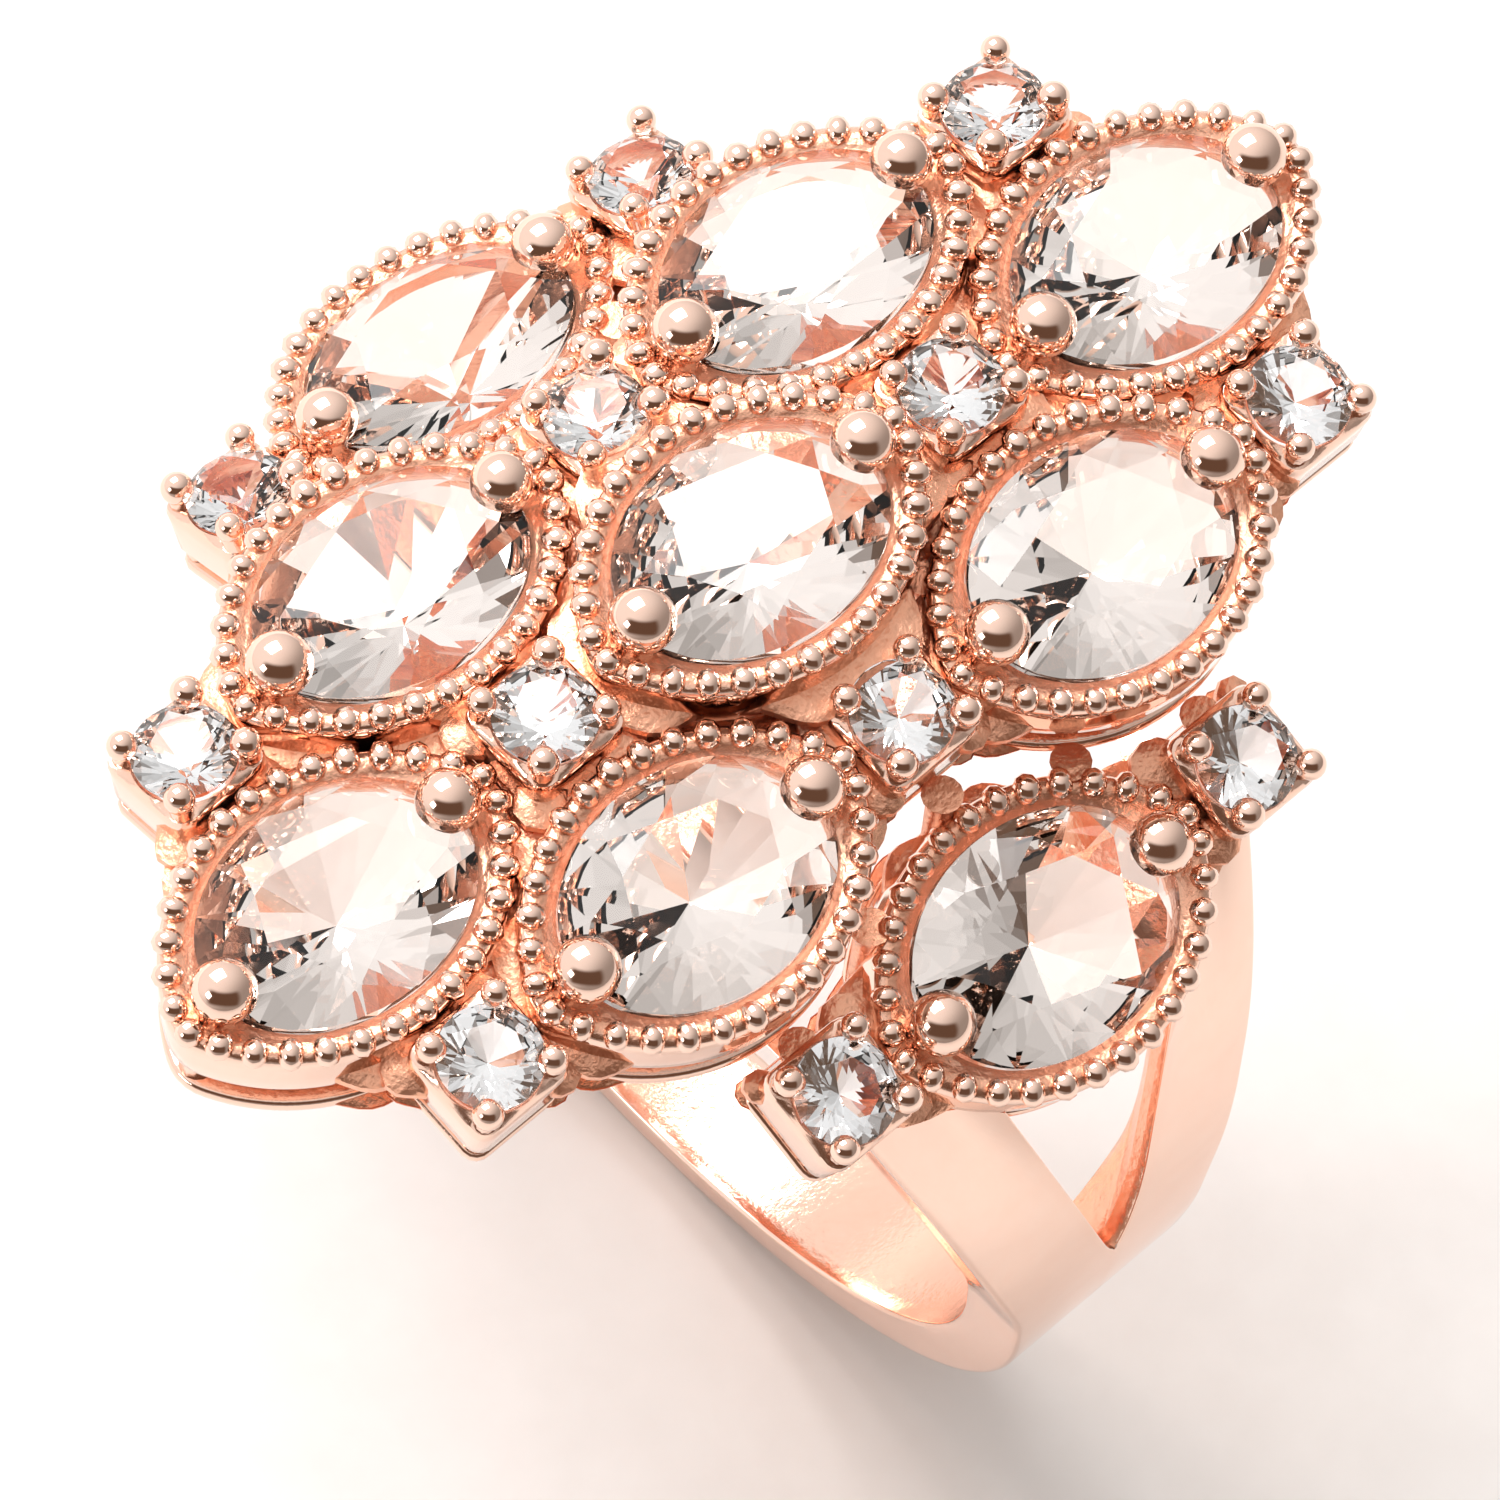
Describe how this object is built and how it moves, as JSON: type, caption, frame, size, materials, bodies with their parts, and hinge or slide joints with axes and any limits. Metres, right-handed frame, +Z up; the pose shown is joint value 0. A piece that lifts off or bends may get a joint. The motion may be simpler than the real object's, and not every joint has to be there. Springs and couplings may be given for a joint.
{
  "type": "cocktail ring",
  "caption": "Domed cluster ring: oval stones in beaded claw settings stepped with small round stones over an open gallery, on a tapering split band.",
  "frame": {"origin": "middle of the finger hole, on its axis", "axes": "+Y along the finger, +Z up through the middle stone of the cluster, +X across the band"},
  "size_m": [0.0198, 0.0252, 0.0225],
  "materials": {
    "rose_gold": "polished rose-gold plate",
    "peach_gem": "faceted pale peach gem",
    "clear_gem": "faceted colourless gem"
  },
  "bodies": {
    "root": {"gallery": "rose_gold", "oval_setting_a1": "rose_gold", "oval_setting_a2": "rose_gold", "oval_setting_a3": "rose_gold", "oval_setting_b1": "rose_gold", "oval_setting_b2": "rose_gold", "oval_setting_b3": "rose_gold", "oval_setting_c1": "rose_gold", "oval_setting_c2": "rose_gold", "oval_setting_c3": "rose_gold", "oval_stone_a1": "peach_gem", "oval_stone_a2": "peach_gem", "oval_stone_a3": "peach_gem", "oval_stone_b1": "peach_gem", "oval_stone_b2": "peach_gem", "oval_stone_b3": "peach_gem", "oval_stone_c1": "peach_gem", "oval_stone_c2": "peach_gem", "oval_stone_c3": "peach_gem", "round_setting_01": "rose_gold", "round_setting_02": "rose_gold", "round_setting_03": "rose_gold", "round_setting_04": "rose_gold", "round_setting_05": "rose_gold", "round_setting_06": "rose_gold", "round_setting_07": "rose_gold", "round_setting_08": "rose_gold", "round_setting_09": "rose_gold", "round_setting_10": "rose_gold", "round_setting_11": "rose_gold", "round_setting_12": "rose_gold", "round_stone_01": "clear_gem", "round_stone_02": "clear_gem", "round_stone_03": "clear_gem", "round_stone_04": "clear_gem", "round_stone_05": "clear_gem", "round_stone_06": "clear_gem", "round_stone_07": "clear_gem", "round_stone_08": "clear_gem", "round_stone_09": "clear_gem", "round_stone_10": "clear_gem", "round_stone_11": "clear_gem", "round_stone_12": "clear_gem", "shank": "rose_gold"}
  },
  "joints": []
}
